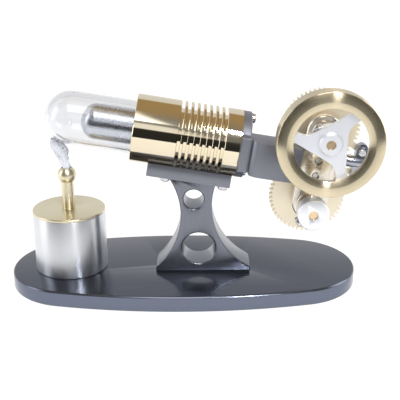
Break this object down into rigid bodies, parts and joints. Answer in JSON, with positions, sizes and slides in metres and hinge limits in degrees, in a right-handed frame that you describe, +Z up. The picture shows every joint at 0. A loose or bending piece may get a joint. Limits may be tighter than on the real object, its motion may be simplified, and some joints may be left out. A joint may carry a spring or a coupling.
{
  "type": "stirling engine model",
  "caption": "Desk-top hot-air engine: brass finned cylinder and glass hot end on a column, geared twin cranks, spoked flywheel and a spirit lamp on an oval base.",
  "frame": {"origin": "centre of the oval base's underside", "axes": "+X along the base towards the flywheel and gears, +Y away from the flywheel's open face, +Z up; the cylinder slopes down towards +X by 9.5 degrees"},
  "size_m": [0.2043, 0.0924, 0.1225],
  "materials": {
    "base_anodised": "glossy dark grey anodising",
    "satin_blue_grey": "satin blue-grey anodising",
    "polished_brass": "mirror polished",
    "turned_brass": "satin, turned",
    "gear_brass": "pale, brushed",
    "satin_aluminium": "satin",
    "lamp_aluminium": "brushed",
    "mirror_chrome": "mirror polished",
    "screw_steel": "bright zinc plated",
    "ground_steel": "ground and polished",
    "borosilicate": "clear",
    "silicone": "matt",
    "cotton": "frayed cotton"
  },
  "bodies": {
    "engine_frame": {"base_plate": "base_anodised", "column": "satin_blue_grey", "column_screws": "screw_steel", "cradle_pad": "satin_blue_grey", "pad_screws": "screw_steel", "column_top_screws": "screw_steel", "cylinder_body": "polished_brass", "glass_tube": "borosilicate", "glass_seals": "silicone", "frame_bracket": "satin_blue_grey", "flange_screws": "screw_steel", "bearing_plate": "mirror_chrome", "plate_screws": "screw_steel", "upper_bush": "turned_brass", "lower_bush": "turned_brass"},
    "flywheel_assembly": {"flywheel_rim": "turned_brass", "flywheel_spider": "satin_aluminium", "flywheel_set_screw": "screw_steel", "upper_spacer": "turned_brass", "upper_shaft": "turned_brass", "upper_gear": "gear_brass", "upper_crank_pin": "ground_steel", "upper_pin_clip": "ground_steel"},
    "lower_crankshaft": {"shaft_collar": "satin_aluminium", "collar_screw": "screw_steel", "lower_spacer": "turned_brass", "lower_shaft": "turned_brass", "lower_gear": "gear_brass", "lower_crank_pin": "ground_steel", "lower_pin_clip": "ground_steel"},
    "upper_displacer_link": {"upper_displacer_rod": "gear_brass", "upper_displacer_rod_pin": "ground_steel"},
    "upper_power_link": {"upper_power_rod": "gear_brass", "upper_power_rod_pin": "ground_steel"},
    "lower_displacer_link": {"lower_displacer_rod": "gear_brass", "lower_displacer_rod_pin": "ground_steel"},
    "lower_power_link": {"lower_power_rod": "gear_brass", "lower_power_rod_pin": "ground_steel"},
    "power_piston_assembly": {"power_piston": "ground_steel", "piston_tube": "ground_steel", "power_yoke": "satin_aluminium", "power_yoke_screws": "screw_steel", "power_yoke_nut": "screw_steel"},
    "displacer_assembly": {"displacer_shell": "ground_steel", "displacer_plug": "satin_aluminium", "displacer_rod": "ground_steel", "displacer_yoke": "satin_aluminium", "displacer_yoke_screws": "screw_steel", "displacer_yoke_nut": "screw_steel"},
    "lamp": {"lamp_reservoir": "lamp_aluminium"},
    "lamp_lid_assembly": {"lamp_lid": "polished_brass", "wick_tube": "polished_brass", "wick": "cotton"}
  },
  "joints": [
    {"name": "flywheel_spin", "type": "hinge", "parent": "engine_frame", "child": "flywheel_assembly", "pos_m": [0.0752, 0, 0.09513], "axis": [0, 1, 0], "continuous": true},
    {"name": "lower_shaft_spin", "type": "hinge", "parent": "engine_frame", "child": "lower_crankshaft", "pos_m": [0.0686, 0, 0.05567], "axis": [0, 1, 0], "continuous": true},
    {"name": "upper_displacer_link_turn", "type": "hinge", "parent": "flywheel_assembly", "child": "upper_displacer_link", "pos_m": [0.0781, 0, 0.09105], "axis": [0, 1, 0], "continuous": true},
    {"name": "upper_power_link_turn", "type": "hinge", "parent": "flywheel_assembly", "child": "upper_power_link", "pos_m": [0.0781, 0, 0.09105], "axis": [0, 1, 0], "continuous": true},
    {"name": "lower_displacer_link_turn", "type": "hinge", "parent": "lower_crankshaft", "child": "lower_displacer_link", "pos_m": [0.07267, 0, 0.05858], "axis": [0, 1, 0], "continuous": true},
    {"name": "lower_power_link_turn", "type": "hinge", "parent": "lower_crankshaft", "child": "lower_power_link", "pos_m": [0.07267, 0, 0.05858], "axis": [0, 1, 0], "continuous": true},
    {"name": "displacer_slide", "type": "slide", "parent": "engine_frame", "child": "displacer_assembly", "axis": [0.9863, 0, -0.165], "range_m": [-0.01164, 0.00033]},
    {"name": "piston_slide", "type": "slide", "parent": "engine_frame", "child": "power_piston_assembly", "axis": [0.9863, 0, -0.165], "range_m": [-0.00725, 0.00669]},
    {"name": "lamp_draw_out", "type": "slide", "parent": "engine_frame", "child": "lamp", "axis": [0, -1, 0], "range_m": [0, 0.09]},
    {"name": "lamp_lid_lift", "type": "slide", "parent": "lamp", "child": "lamp_lid_assembly", "axis": [0, 0, 1], "range_m": [0, 0.01], "deforming": ["wick"]}
  ],
  "couplings": [
    {"joint": "lower_shaft_spin", "follows": "flywheel_spin", "ratio": -1},
    {"joint": "upper_displacer_link_turn", "follows": "flywheel_spin", "ratio": -1},
    {"joint": "upper_power_link_turn", "follows": "flywheel_spin", "ratio": -1},
    {"joint": "lower_displacer_link_turn", "follows": "flywheel_spin", "ratio": 1},
    {"joint": "lower_power_link_turn", "follows": "flywheel_spin", "ratio": 1}
  ]
}
